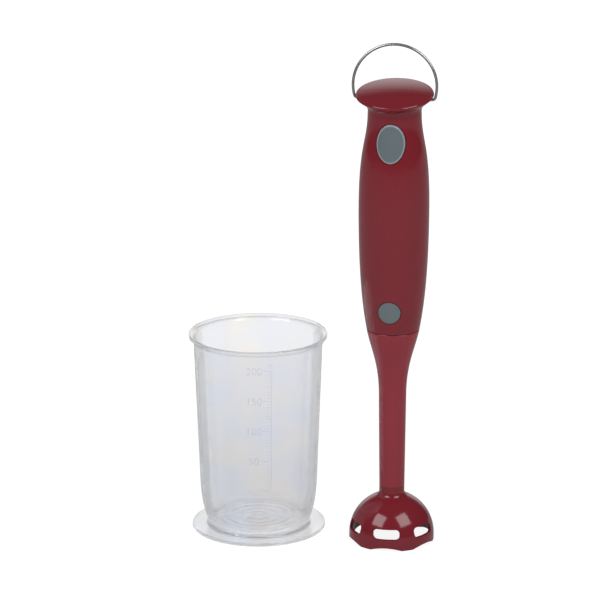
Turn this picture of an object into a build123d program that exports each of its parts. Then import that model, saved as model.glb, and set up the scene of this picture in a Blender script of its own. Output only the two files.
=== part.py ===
from build123d import *
from math import acos, asin, cos, degrees, radians, sin, sqrt
import os

# Toy stick mixer with a plug-in mixing foot, and the clear beaker that stands beside it.
# Millimetres, +Z up, origin on the table under the mixer's axis.
# The buttons face -Y, and +X is on the right of someone who looks at them.

# Clearances
seat_gap = 0.15
beside_gap = 0.3
running_gap = 0.05
button_gap = 0.35
seam_gap = 0.3

# Blade guard
guard_radius = 23.25
guard_skirt = 3.0
guard_wall = 1.6
guard_neck_rise = 4.75
guard_neck_fillet = 3.5
guard_plug_length = 7.0
slot_count = 6
slot_length = 14.4
slot_height = 5.5
slot_corner = 2.2
slot_centre = 9.0
scallop_width = 17.0
scallop_depth = 1.6

# Mixing foot
tube_low_radius = 6.9
tube_high_radius = 7.5
tube_wall = 1.5
trumpet_drop = 36.4
trumpet_middle_drop = 16.1
trumpet_middle_radius = 10.25
seam_height = 120.4
seam_radius = 14.4
seam_slope = (0.19, 1)
seam_edge = 0.4

# Handle
shell_wall = 1.8
parting_width = 0.3
parting_depth = 0.25
shoulder_rise = 24.2
shoulder_radius = 17.5
belly_rise = 59.9
belly_radius = 18.94
upper_rise = 99.5
upper_radius = 16.91
neck_rise = 119.1
neck_radius = 14.4
flare_low_rise = 3.7
flare_low_radius = 15.0
flare_low_lean = 0.25
flare_high_rise = 6.7
flare_high_radius = 17.8
flare_high_lean = 0.65

# Head with its slanted top
rim_rise = 10.0
rim_radius = 20.8
rim_edge = 0.95
rim_overhang = 1.1
head_tilt = 10.5
crown = 2.6

# Hanging loop
loop_wire = 1.5
loop_radius = 22.4
loop_centre_rise = 4.6
loop_pivot_drop = 2.3
loop_bend = 1.7
loop_pin_end = 15.0

# Buttons
power_width = 15.2
power_length = 20.6
power_drop = 13.5
power_proud = 0.7
power_back = 12.4
power_travel = 2.0
release_radius = 6.0
release_rise = 12.8
release_proud = 0.1
release_back = 13.2
release_travel = 1.2
button_edge = 0.6
tab_width = 8.0
tab_thick = 1.2
tab_reach = 1.4

# Foot socket and latch
spigot_radius = 10.0
spigot_height = 6.1
spigot_flange = 6.9
spigot_bore = 5.2
spigot_hub = 8.0
latch_height = 3.2
latch_wire = 1.0
latch_gap_angle = 28.0
release_arm_width = 3.0

# Motor
motor_radius = 10.05
motor_half_depth = 7.55
motor_length = 25.0
motor_cap_length = 3.0
motor_wall = 0.8
motor_boss_radius = 3.05
motor_boss_length = 1.5
motor_shaft = 2.0
motor_plate = 4.0
motor_screw_spacing = 12.0
motor_screw = 0.8
terminal_reach = 1.6
magnet_thick = 1.6
core_length = 12.0
pole_count = 3

# Drive train
drive_shaft_size = 3.0
coupling_radius = 3.8
coupling_length = 7.0
jaw_length = 3.0
jaw_angle = 64.0
bush_wall = 1.9
bush_flange = 0.8
blade_radius = 15.5
blade_height = 12.5
blade_width = 7.0
blade_tip = 2.4
blade_thick = 1.3
blade_pitch = 20.0
blade_hub_radius = 3.6
blade_hub_length = 11.0
shaft_end = 9.3

# Batteries, AA size
cell_radius = 7.25
cell_length = 49.5
cell_nub_radius = 2.75
cell_nub_length = 1.0
cell_set_back = 2.5
cell_room = 0.3
contact_size = 8.0
contact_thick = 0.4
contact_corner = 1.0
contact_spring_length = 4.5
contact_spring_radius = 3.0
contact_spring_wire = 0.6
box_wall = 1.5
box_side = 6.5

# Battery cover
cover_half_width = 15.0
cover_above_box = 1.6
cover_below_box = 8.9
cover_corner = 4.0
cover_tongue = 2.0
cover_tongue_width = 12.0
cover_tongue_thick = 1.2
cover_pad = 1.4
cover_pad_radius = 3.2
box_boss_end = 14.2
box_boss_half = 3.0
cover_screw_rise = 4.7
cover_screw_reach = 6.0

# Screws
screw_radius = 1.1
screw_head_radius = 2.0
screw_head_height = 1.4
boss_radius = 2.4
screw_seat = 6.0
screw_reach = 7.4
screw_low_rise = 13.2
screw_high_drop = 3.9
screw_high_spacing = 17.4

# Switch
switch_size = 8.0
switch_depth = 4.4
switch_seat = 4.4
switch_corner = 0.8
plunger_radius = 1.7
power_spring_radius = 6.5
release_spring_radius = 2.2
button_spring_wire = 0.5
coil_turns = 4

# Leads
lead_radius = 0.6
lead_spacing = 9.0
lead_bend = 2.0

# Beaker
beaker_x = -75.6
beaker_y = 8.4
beaker_height = 111.5
beaker_rim_radius = 38.0
beaker_top_radius = 35.3
beaker_low_radius = 32.2
beaker_low_height = 25.0
beaker_foot_radius = 28.1
beaker_wall = 1.6
beaker_lip = 2.2
beaker_flare = 5.5
beaker_floor = 1.5
beaker_foot_height = 1.5
beaker_rings = (6.0, 11.0, 16.6, 21.0)
ring_width = 0.9
ring_height = 0.5
base_radius = 36.9
base_thick = 2.0
base_collar = 1.5

# Heights and spacings that follow from the sizes above
guard_neck_height = guard_skirt + guard_radius + guard_neck_rise
trumpet_start = seam_height - trumpet_drop
trumpet_middle = seam_height - trumpet_middle_drop
shoulder_height = seam_height + shoulder_rise
belly_height = seam_height + belly_rise
upper_height = seam_height + upper_rise
neck_height = seam_height + neck_rise
flare_low_height = neck_height + flare_low_rise
flare_high_height = neck_height + flare_high_rise
rim_height = neck_height + rim_rise
loop_pivot = rim_height - loop_pivot_drop
loop_centre = rim_height + loop_centre_rise
power_height = neck_height - power_drop
release_height = seam_height + release_rise
foot_top = seam_height - seam_gap
spigot_top = seam_height + spigot_height
mount_low = seam_height + beside_gap
mount_ceiling = spigot_top + beside_gap
motor_low = mount_ceiling + motor_plate
motor_high = motor_low + motor_length
box_low = motor_high + 2 * beside_gap
cell_low = box_low + box_wall
cell_spacing = 2 * (cell_radius + seat_gap)
cell_high = cell_low + cell_length + cell_nub_length + contact_spring_length + 2 * contact_thick
box_high = cell_high + box_wall
cover_top = box_high + cover_above_box
cover_bottom = box_low - cover_below_box
cover_screw_height = cover_bottom + cover_screw_rise
screw_low_height = motor_low + screw_low_rise
screw_low_spacing = 2 * (motor_radius + boss_radius + beside_gap + seat_gap)
screw_high_height = neck_height - screw_high_drop
latch_level = seam_height + latch_height
coupling_level = spigot_top - 2 * jaw_length + beside_gap
bush_level = foot_top - spigot_flange

far = 2 * belly_radius
head_lean = Vector(0, -sin(radians(head_tilt)), cos(radians(head_tilt)))


def leaning_plane(spot, share):
    """A plane that leans to the front by a share of the head's tilt, with its x to the rear."""
    lean = radians(head_tilt * share)
    return Plane(spot, x_dir=(0, cos(lean), sin(lean)), z_dir=(0, -sin(lean), cos(lean)))


def grip_form(inset):
    """The handle below its head as a solid, drawn in by inset all round."""
    with BuildPart() as form:
        with BuildSketch(Plane.XZ):
            with BuildLine():
                side = Spline(
                    (seam_radius - inset, seam_height),
                    (shoulder_radius - inset, shoulder_height),
                    (belly_radius - inset, belly_height),
                    (upper_radius - inset, upper_height),
                    (neck_radius - inset, neck_height),
                    tangents=[seam_slope, (0, 1)],
                )
                Polyline(side @ 1, (0, neck_height), (0, seam_height), side @ 0)
            make_face()
        revolve(axis=Axis.Z)
    return form.part


def handle_form(inset):
    """The whole handle with its flared, slanted head as a solid, drawn in by inset all round."""
    head_plane = Plane((0, 0, rim_height), x_dir=(1, 0, 0), z_dir=Vector(1, 0, 0).cross(head_lean))
    flare_top = Vector(0, 0, rim_height) - head_lean * rim_edge
    flare_top_radius = rim_radius - rim_overhang - inset
    with BuildPart() as form:
        add(grip_form(inset))
        with BuildSketch(leaning_plane((0, 0, neck_height), 0)):
            Circle(neck_radius - inset)
        with BuildSketch(leaning_plane((0, 0, flare_low_height), flare_low_lean)):
            Circle(flare_low_radius - inset)
        with BuildSketch(leaning_plane((0, 0, flare_high_height), flare_high_lean)):
            Circle(flare_high_radius - inset)
        with BuildSketch(leaning_plane(flare_top, 1)):
            Circle(flare_top_radius)
        loft()
        with BuildSketch(head_plane):
            with BuildLine():
                if inset:
                    drop = crown - inset + rim_edge
                    top = ThreePointArc(
                        (0, crown - inset),
                        (flare_top_radius / 2, crown - inset - drop / 4),
                        (flare_top_radius, -rim_edge),
                    )
                    Polyline(top @ 1, (0, -rim_edge), top @ 0)
                else:
                    edge_radius = rim_radius - rim_edge
                    top = ThreePointArc(
                        (0, crown),
                        (edge_radius / 2, crown - (crown - rim_edge) / 4),
                        (edge_radius, rim_edge),
                    )
                    edge = ThreePointArc(top @ 1, (rim_radius, 0), (edge_radius, -rim_edge))
                    Polyline(edge @ 1, (0, -rim_edge), top @ 0)
            make_face()
        revolve(axis=Axis((0, 0, rim_height), head_lean))
    return form.part


def parting_groove():
    """A slab round the handle that cuts a shallow groove where its two shells meet."""
    half = parting_width / 2
    with BuildPart() as groove:
        add(block((-far, far), (-half, half), (foot_top, loop_centre)))
        add(handle_form(parting_depth), mode=Mode.SUBTRACT)
    return groove.part


def foot_form(inset):
    """The mixing foot above its guard as a solid, drawn in by inset all round."""
    with BuildPart() as form:
        with BuildSketch(Plane.XZ):
            with BuildLine():
                tube = Line(
                    (tube_low_radius - inset, guard_neck_height),
                    (tube_high_radius - inset, trumpet_start),
                )
                bell = Spline(
                    tube @ 1,
                    (trumpet_middle_radius - inset, trumpet_middle),
                    (seam_radius - inset, foot_top),
                    tangents=[tube % 1, seam_slope],
                )
                Polyline(bell @ 1, (0, foot_top), (0, guard_neck_height), tube @ 0)
            make_face()
        revolve(axis=Axis.Z)
    return form.part


def cover_prism(shrink):
    """A prism behind the handle with the battery cover's outline, drawn in by shrink."""
    width = 2 * (cover_half_width - shrink)
    length = cover_top - cover_bottom - 2 * shrink
    with BuildPart() as prism:
        with BuildSketch(Plane.XZ):
            with Locations((0, (cover_top + cover_bottom) / 2)):
                RectangleRounded(width, length, cover_corner - shrink)
        extrude(amount=-far)
    return prism.part


def coil_spring(start, along, length, radius, wire):
    """A round-wire coil between two flat seats that lie length apart."""
    rise = length - wire - 2 * running_gap
    base = Vector(start) + Vector(along) * (wire / 2 + running_gap)
    with BuildPart() as spring:
        with BuildLine() as path:
            Helix(rise / coil_turns, rise, radius, center=base, direction=along)
        with BuildSketch(Plane(path.line @ 0, z_dir=path.line % 0)):
            Circle(wire / 2)
        sweep(is_frenet=True)
    return spring.part


def block(x, y, z):
    """A box between the given limits along each axis."""
    with BuildPart() as solid:
        with Locations(((x[0] + x[1]) / 2, (y[0] + y[1]) / 2, (z[0] + z[1]) / 2)):
            Box(x[1] - x[0], y[1] - y[0], z[1] - z[0])
    return solid.part


def wall_strip(inset, low, high):
    """A strip along the inside of the rear wall, from inset inwards, for the cover's tongue."""
    half = cover_tongue_width / 2
    with BuildPart() as strip:
        add(grip_form(inset))
        add(grip_form(shell_wall + cover_tongue_thick), mode=Mode.SUBTRACT)
        add(block((-half, half), (0, far), (low, high)), mode=Mode.INTERSECT)
    return strip.part


def behind_wall(x, back, z):
    """A rib that reaches forward from a depth to just behind the front wall."""
    with BuildPart() as rib:
        add(grip_form(shell_wall + beside_gap))
        add(block(x, (-far, -back), z), mode=Mode.INTERSECT)
    return rib.part


def tab_ends(height, reach):
    """The lowest and highest level of a button's tabs."""
    return (height - reach - tab_reach, height + reach + tab_reach)


def jaw_sketch(turn):
    """Two opposite jaws of a coupling, turned about the axis."""
    with BuildSketch() as jaws:
        for middle in (turn, turn + 180):
            with BuildLine():
                edge = CenterArc((0, 0), coupling_radius, middle - jaw_angle / 2, jaw_angle)
                Polyline(edge @ 1, (0, 0), edge @ 0)
            make_face()
        Circle(drive_shaft_size / 2 + beside_gap, mode=Mode.SUBTRACT)
    return jaws.sketch


def level(height):
    """The plane across the axis at a height."""
    return Plane.XY.offset(height)


def depth(y):
    """The upright plane at a depth, with its normal to the front."""
    return Plane.XZ.offset(-y)


handle_outside = handle_form(0)
handle_inside = handle_form(shell_wall)
grip_outside = grip_form(0)
grip_inside = grip_form(shell_wall)
grip_room = grip_form(shell_wall + seat_gap)

screw_spots = [
    (side * spacing / 2, height)
    for spacing, height in ((screw_low_spacing, screw_low_height), (screw_high_spacing, screw_high_height))
    for side in (-1, 1)
]

# Handle shells: two halves that meet in the plane of the loop's ends
with BuildPart() as handle_wall:
    add(handle_outside)
    add(handle_inside, mode=Mode.SUBTRACT)
    with BuildSketch(depth(far)):
        with Locations(*screw_spots):
            Circle(boss_radius)
    extrude(amount=2 * far)
    add(handle_outside, mode=Mode.INTERSECT)
    with Locations(Plane((0, 0, loop_pivot), z_dir=(1, 0, 0))):
        Cylinder(loop_wire / 2 + running_gap, 2 * far, mode=Mode.SUBTRACT)
    add(parting_groove(), mode=Mode.SUBTRACT)

with BuildPart() as handle_front_shell:
    add(handle_wall.part)
    split(bisect_by=Plane.XZ, keep=Keep.TOP)
    with BuildSketch(Plane.XZ):
        with Locations(*screw_spots):
            Circle(screw_radius + running_gap)
    extrude(amount=screw_reach + beside_gap, mode=Mode.SUBTRACT)
    with BuildSketch(Plane.XZ):
        with Locations((0, power_height)):
            Ellipse(power_width / 2 + button_gap, power_length / 2 + button_gap)
        with Locations((0, release_height)):
            Circle(release_radius + button_gap)
    extrude(amount=far, mode=Mode.SUBTRACT)

with BuildPart() as handle_rear_shell:
    add(handle_wall.part)
    split(bisect_by=Plane.XZ, keep=Keep.BOTTOM)
    with BuildSketch(Plane.XZ):
        with Locations(*screw_spots):
            Circle(screw_radius + seat_gap)
    extrude(amount=-far, mode=Mode.SUBTRACT)
    with BuildSketch(depth(screw_seat)):
        with Locations(*screw_spots):
            Circle(screw_head_radius + seat_gap)
    extrude(amount=-far, mode=Mode.SUBTRACT)
    add(cover_prism(0), mode=Mode.SUBTRACT)

with BuildPart() as shell_screws:
    with BuildSketch(depth(screw_seat)):
        with Locations(*screw_spots):
            Circle(screw_radius)
    extrude(amount=screw_seat + screw_reach)
    with BuildSketch(depth(screw_seat)):
        with Locations(*screw_spots):
            Circle(screw_head_radius)
    extrude(amount=-screw_head_height)

# Battery cover: a piece of the rear wall with a tongue at its top and a screw at its foot
cover_pad_low = box_boss_end + beside_gap
cover_screw_seat = cover_pad_low + cover_pad
with BuildPart() as battery_cover:
    add(grip_outside)
    add(grip_inside, mode=Mode.SUBTRACT)
    with BuildSketch(depth(cover_pad_low)):
        with Locations((0, cover_screw_height)):
            Circle(cover_pad_radius)
    extrude(amount=-far)
    add(grip_outside, mode=Mode.INTERSECT)
    add(cover_prism(beside_gap), mode=Mode.INTERSECT)
    with BuildSketch(Plane.XZ):
        with Locations((0, cover_screw_height)):
            Circle(screw_radius + seat_gap)
    extrude(amount=-far, mode=Mode.SUBTRACT)
    with BuildSketch(depth(cover_screw_seat)):
        with Locations((0, cover_screw_height)):
            Circle(screw_head_radius + seat_gap)
    extrude(amount=-far, mode=Mode.SUBTRACT)
    add(wall_strip(shell_wall - seat_gap, cover_top - 2 * cover_tongue, cover_top - beside_gap))
    add(wall_strip(shell_wall + seat_gap, cover_top - 2 * cover_tongue, cover_top + cover_tongue))

with BuildPart() as battery_cover_screw:
    with BuildSketch(depth(cover_screw_seat)):
        with Locations((0, cover_screw_height)):
            Circle(screw_radius)
    extrude(amount=cover_screw_reach)
    with BuildSketch(depth(cover_screw_seat)):
        with Locations((0, cover_screw_height)):
            Circle(screw_head_radius)
    extrude(amount=-screw_head_height)

# Battery box: a tray that is open to the rear, with a seat for the switch above it
cell_x = cell_spacing / 2
cell_bay = cell_radius + cell_room
box_front = cell_set_back - cell_bay - box_wall
with BuildPart() as battery_box:
    add(grip_room)
    add(block((-far, far), (box_front, cell_set_back + box_side), (box_low, box_high)), mode=Mode.INTERSECT)
    with BuildSketch(level(cell_low)):
        with Locations((-cell_x, cell_set_back), (cell_x, cell_set_back)):
            Circle(cell_bay)
        with Locations((0, cell_set_back)):
            Rectangle(2 * (cell_x + cell_bay), far, align=(Align.CENTER, Align.MIN))
    extrude(amount=cell_high - cell_low, mode=Mode.SUBTRACT)
    add(
        block(
            (-box_boss_half, box_boss_half),
            (motor_half_depth + 2 * beside_gap, box_boss_end),
            (cover_screw_height - box_boss_half, cell_low),
        )
    )
    add(
        block(
            (-switch_size, switch_size),
            (-switch_seat, -switch_seat + box_wall),
            (cell_high, power_height + power_spring_radius),
        )
    )
    with BuildSketch(depth(box_boss_end)):
        with Locations((0, cover_screw_height)):
            Circle(screw_radius + running_gap)
    extrude(amount=box_boss_end - motor_half_depth, mode=Mode.SUBTRACT)

# Two AA cells, one turned over, with their contacts
first_low = cell_low + contact_thick + contact_spring_length
second_low = cell_low + contact_thick + cell_nub_length
with BuildPart() as battery_cells:
    with BuildSketch(level(first_low)):
        with Locations((-cell_x, cell_set_back)):
            Circle(cell_radius)
    extrude(amount=cell_length)
    with BuildSketch(level(first_low + cell_length)):
        with Locations((-cell_x, cell_set_back)):
            Circle(cell_nub_radius)
    extrude(amount=cell_nub_length)
    with BuildSketch(level(second_low)):
        with Locations((cell_x, cell_set_back)):
            Circle(cell_radius)
    extrude(amount=cell_length)
    with BuildSketch(level(second_low)):
        with Locations((cell_x, cell_set_back)):
            Circle(cell_nub_radius)
    extrude(amount=-cell_nub_length)

with BuildPart() as series_contact:
    with BuildSketch(level(cell_low)):
        with Locations((-cell_x, cell_set_back), (cell_x, cell_set_back)):
            RectangleRounded(contact_size, contact_size, contact_corner)
        with Locations((0, cell_set_back + contact_size / 3)):
            Rectangle(cell_spacing, contact_size / 3)
    extrude(amount=contact_thick)

with BuildPart() as terminal_contacts:
    with BuildSketch(level(cell_high)):
        with Locations((-cell_x, cell_set_back), (cell_x, cell_set_back)):
            RectangleRounded(contact_size, contact_size, contact_corner)
    extrude(amount=-contact_thick)

with BuildPart() as battery_springs:
    for x, height in ((-cell_x, cell_low + contact_thick), (cell_x, second_low + cell_length)):
        start = (x, cell_set_back, height)
        add(coil_spring(start, (0, 0, 1), contact_spring_length, contact_spring_radius, contact_spring_wire))

# Motor mount: the plate under the motor and the socket that takes the foot
button_room = release_back - release_travel - 2 * beside_gap
arm_slot = release_arm_width / 2 + button_gap
arm_low = latch_level - latch_wire
screw_x = motor_screw_spacing / 2
with BuildPart() as motor_mount:
    add(grip_room)
    add(block((-far, far), (-far, far), (mount_low, motor_low)), mode=Mode.INTERSECT)
    with BuildSketch(level(mount_low)):
        Circle(spigot_radius + 2 * running_gap)
    extrude(amount=mount_ceiling - mount_low, mode=Mode.SUBTRACT)
    with BuildSketch(level(mount_ceiling)):
        Circle(coupling_radius + 2 * beside_gap)
    extrude(amount=motor_plate - motor_boss_length, mode=Mode.SUBTRACT)
    with BuildSketch(level(mount_ceiling)):
        Circle(motor_boss_radius + running_gap)
        with Locations((-screw_x, 0), (screw_x, 0)):
            Circle(motor_screw + seat_gap)
    extrude(amount=motor_plate, mode=Mode.SUBTRACT)
    with BuildSketch(level(mount_ceiling)):
        with Locations((-screw_x, 0), (screw_x, 0)):
            Circle(2 * motor_screw + seat_gap)
    extrude(amount=motor_plate / 2, mode=Mode.SUBTRACT)
    with BuildSketch(level(latch_level - latch_wire / 2 - seat_gap)):
        Circle(spigot_radius + latch_wire + seat_gap)
    extrude(amount=latch_wire + 2 * seat_gap, mode=Mode.SUBTRACT)
    add(
        block((-arm_slot, arm_slot), (-far, -spigot_radius + latch_wire), (arm_low - beside_gap, motor_low)),
        mode=Mode.SUBTRACT,
    )
    add(
        block(
            (-release_radius - tab_reach, release_radius + tab_reach),
            (-far, -button_room),
            (release_height - release_radius - tab_reach, motor_low),
        ),
        mode=Mode.SUBTRACT,
    )

with BuildPart() as motor_mount_screws:
    head_level = mount_ceiling + motor_plate / 2
    with BuildSketch(level(head_level)):
        with Locations((-screw_x, 0), (screw_x, 0)):
            Circle(2 * motor_screw)
    extrude(amount=-motor_screw)
    with BuildSketch(level(head_level)):
        with Locations((-screw_x, 0), (screw_x, 0)):
            Circle(motor_screw)
    extrude(amount=motor_plate / 2 + 2 * motor_wall)

# Motor: a can with two flats, its cap, magnets and armature
cap_level = motor_high - motor_cap_length
with BuildPart() as motor_can:
    with BuildSketch(level(motor_low)):
        Circle(motor_radius)
        Rectangle(2 * motor_radius, 2 * motor_half_depth, mode=Mode.INTERSECT)
    extrude(amount=motor_length - motor_cap_length)
    with BuildSketch(level(motor_low + motor_wall)):
        Circle(motor_radius - motor_wall)
        Rectangle(2 * motor_radius, 2 * (motor_half_depth - motor_wall), mode=Mode.INTERSECT)
    extrude(amount=motor_length, mode=Mode.SUBTRACT)
    with BuildSketch(level(motor_low)):
        Circle(motor_boss_radius)
    extrude(amount=-motor_boss_length)
    with BuildSketch(level(motor_low - motor_boss_length)):
        Circle(motor_shaft / 2 + running_gap)
        with Locations((-screw_x, 0), (screw_x, 0)):
            Circle(motor_screw + running_gap)
    extrude(amount=motor_length, mode=Mode.SUBTRACT)

with BuildPart() as motor_end_cap:
    with BuildSketch(level(cap_level)):
        Circle(motor_radius)
        Rectangle(2 * motor_radius, 2 * motor_half_depth, mode=Mode.INTERSECT)
    extrude(amount=motor_cap_length)
    with BuildSketch(level(cap_level)):
        Circle(motor_shaft / 2 + running_gap)
    extrude(amount=motor_cap_length - motor_wall, mode=Mode.SUBTRACT)
    for side in (-1, 1):
        x = side * lead_spacing / 2
        add(
            block(
                (x - 2 * lead_radius, x + 2 * lead_radius),
                (-motor_half_depth - terminal_reach, 0),
                (motor_high - motor_wall, motor_high),
            )
        )

with BuildPart() as motor_magnets:
    magnet_outside = motor_radius - motor_wall - seat_gap
    with BuildSketch(level(cap_level - seat_gap)):
        Circle(magnet_outside)
        Circle(magnet_outside - magnet_thick, mode=Mode.SUBTRACT)
        Rectangle(2 * motor_radius, 2 * (motor_half_depth - 2 * motor_wall), mode=Mode.INTERSECT)
    extrude(amount=-core_length)

core_radius = motor_half_depth - motor_wall - beside_gap
core_level = cap_level - core_length - seat_gap
with BuildPart() as motor_armature:
    with BuildSketch(level(coupling_level + jaw_length)):
        Circle(motor_shaft / 2)
    extrude(amount=motor_high - 2 * motor_wall - coupling_level - jaw_length)
    with BuildSketch(level(core_level)):
        Circle(core_radius)
        with PolarLocations(core_radius, pole_count):
            Rectangle(core_radius, magnet_thick, mode=Mode.SUBTRACT)
    extrude(amount=core_length - 2 * motor_wall)
    with BuildSketch(level(core_level + core_length - 2 * motor_wall)):
        Circle(motor_shaft)
    extrude(amount=motor_wall)

# Drive couplings: two jaws each, which meet when the foot is plugged in
with BuildPart() as drive_coupling_upper:
    with BuildSketch(level(coupling_level + jaw_length)):
        Circle(coupling_radius)
        Circle(motor_shaft / 2, mode=Mode.SUBTRACT)
    extrude(amount=coupling_length - jaw_length)
    with BuildSketch(level(coupling_level)):
        add(jaw_sketch(0))
    extrude(amount=jaw_length)

with BuildPart() as drive_coupling_lower:
    jaw_level = coupling_level - beside_gap
    with BuildSketch(level(jaw_level)):
        Circle(coupling_radius)
    extrude(amount=jaw_length - coupling_length)
    with BuildSketch(level(jaw_level)):
        add(jaw_sketch(90))
    extrude(amount=jaw_length)
    with BuildSketch(level(jaw_level - coupling_length)):
        Circle(drive_shaft_size / 2)
    extrude(amount=coupling_length - motor_wall, mode=Mode.SUBTRACT)

# Buttons: pieces of the handle's own surface, held behind the wall by tabs
with BuildPart() as power_button:
    add(grip_form(-power_proud))
    with BuildSketch(depth(-power_back)):
        with Locations((0, power_height)):
            Ellipse(power_width / 2, power_length / 2)
    extrude(amount=far, mode=Mode.INTERSECT)
    fillet(power_button.edges().group_by(Axis.Y)[0], button_edge)
    tab_x = (-tab_width / 2, tab_width / 2)
    add(behind_wall(tab_x, power_back - tab_thick, tab_ends(power_height, power_length / 2)))
    with BuildSketch(depth(-power_back)):
        with Locations((0, power_height)):
            Circle(power_width / 2 - beside_gap)
    extrude(amount=-tab_thick)

with BuildPart() as switch_plunger:
    with BuildSketch(depth(-power_back + tab_thick)):
        with Locations((0, power_height)):
            Circle(plunger_radius)
    extrude(amount=-(power_back - tab_thick - switch_seat - power_travel - 2 * beside_gap))

with BuildPart() as power_switch:
    with BuildSketch(depth(-switch_seat)):
        with Locations((0, power_height)):
            RectangleRounded(switch_size, switch_size, switch_corner)
    extrude(amount=switch_depth)
    with BuildSketch(depth(-switch_seat - beside_gap)):
        with Locations((0, power_height)):
            Circle(plunger_radius + running_gap)
    extrude(amount=switch_depth, mode=Mode.SUBTRACT)

with BuildPart() as power_button_spring:
    spring_start = (0, -power_back + tab_thick, power_height)
    spring_length = power_back - tab_thick - switch_seat
    add(coil_spring(spring_start, (0, 1, 0), spring_length, power_spring_radius, button_spring_wire))

with BuildPart() as release_button:
    add(grip_form(-release_proud))
    with BuildSketch(depth(-release_back)):
        with Locations((0, release_height)):
            Circle(release_radius)
    extrude(amount=far, mode=Mode.INTERSECT)
    arm_x = (-release_arm_width / 2, release_arm_width / 2)
    arm_back = spigot_radius + release_travel + seat_gap
    arm_high = release_height - release_spring_radius - 2 * button_spring_wire
    add(behind_wall(arm_x, arm_back, (arm_low, arm_high)))
    tab_low = release_height + release_spring_radius + 2 * button_spring_wire
    add(behind_wall(arm_x, release_back - tab_thick, (tab_low, release_height + release_radius + tab_reach)))

with BuildPart() as release_button_spring:
    spring_start = (0, -release_back, release_height)
    spring_length = release_back - motor_half_depth
    add(coil_spring(spring_start, (0, 1, 0), spring_length, release_spring_radius, button_spring_wire))

with BuildPart() as latch_spring:
    with BuildLine(level(latch_level)) as latch_path:
        CenterArc((0, 0), spigot_radius, latch_gap_angle / 2 - 90, 360 - latch_gap_angle)
    with BuildSketch(Plane(latch_path.line @ 0, z_dir=latch_path.line % 0)):
        Circle(latch_wire / 2)
    sweep()

# Hanging loop: one bent wire with its ends turned in under the rim
with BuildPart() as hanging_loop:
    drop = (loop_centre - loop_pivot) / loop_radius
    foot_angle = degrees(asin(drop))
    foot_x = loop_radius * cos(radians(foot_angle))
    with BuildLine(Plane.XZ) as loop_path:
        Line((loop_pin_end, loop_pivot), (foot_x, loop_pivot))
        CenterArc((0, loop_centre), loop_radius, -foot_angle, 180 + 2 * foot_angle)
        Line((-foot_x, loop_pivot), (-loop_pin_end, loop_pivot))
        corners = loop_path.vertices().filter_by(lambda v: abs(abs(v.X) - foot_x) < running_gap)
        fillet(corners, loop_bend)
    with BuildSketch(Plane((loop_pin_end, 0, loop_pivot), z_dir=(1, 0, 0))):
        Circle(loop_wire / 2)
    sweep(path=loop_path.wires()[0])

# Leads from the motor's terminals to the switch's seat
lead_y = -motor_half_depth - lead_radius - seat_gap
lead_high = box_high + 4 * lead_radius
with BuildPart() as wire_leads:
    for side in (-1, 1):
        x = side * lead_spacing / 2
        with BuildLine() as lead_path:
            FilletPolyline(
                (x, lead_y, motor_high),
                (x, lead_y, lead_high),
                (x, -switch_seat, lead_high),
                radius=lead_bend,
            )
        with BuildSketch(level(motor_high)):
            with Locations((x, lead_y)):
                Circle(lead_radius)
        sweep(path=lead_path.wires()[0])

# Mixing foot: tube with its trumpet, the spigot in its top and the guard at its end
with BuildPart() as foot_tube:
    add(foot_form(0))
    add(foot_form(tube_wall), mode=Mode.SUBTRACT)
    fillet(foot_tube.edges().group_by(Axis.Z)[-1].sort_by(SortBy.RADIUS)[-1], seam_edge)

bush_radius = drive_shaft_size / 2 + running_gap + bush_wall
hub_radius = bush_radius + bush_wall
with BuildPart() as foot_spigot:
    add(foot_form(tube_wall + seat_gap))
    add(block((-far, far), (-far, far), (bush_level, foot_top)), mode=Mode.INTERSECT)
    with BuildSketch(level(foot_top)):
        Circle(spigot_radius)
    extrude(amount=spigot_top - foot_top)
    chamfer(foot_spigot.edges().group_by(Axis.Z)[-1], seam_edge)
    with BuildSketch(level(bush_level)):
        Circle(hub_radius)
    extrude(amount=-spigot_hub)
    with BuildSketch(level(bush_level)):
        Circle(spigot_bore)
    extrude(amount=spigot_top, mode=Mode.SUBTRACT)
    with BuildSketch(level(bush_level)):
        Circle(bush_radius)
    extrude(amount=-spigot_hub, mode=Mode.SUBTRACT)
    with BuildSketch(level(latch_level - latch_wire / 2 - seat_gap)):
        Circle(spigot_radius)
        Circle(spigot_radius - latch_wire / 2 - seat_gap, mode=Mode.SUBTRACT)
    extrude(amount=latch_wire + 2 * seat_gap, mode=Mode.SUBTRACT)

with BuildPart() as upper_bush:
    with BuildSketch(level(bush_level)):
        Circle(bush_radius)
        Circle(drive_shaft_size / 2 + running_gap, mode=Mode.SUBTRACT)
    extrude(amount=-spigot_hub)
    with BuildSketch(level(bush_level)):
        Circle(spigot_bore - beside_gap)
        Circle(drive_shaft_size / 2 + running_gap, mode=Mode.SUBTRACT)
    extrude(amount=bush_flange)

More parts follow.
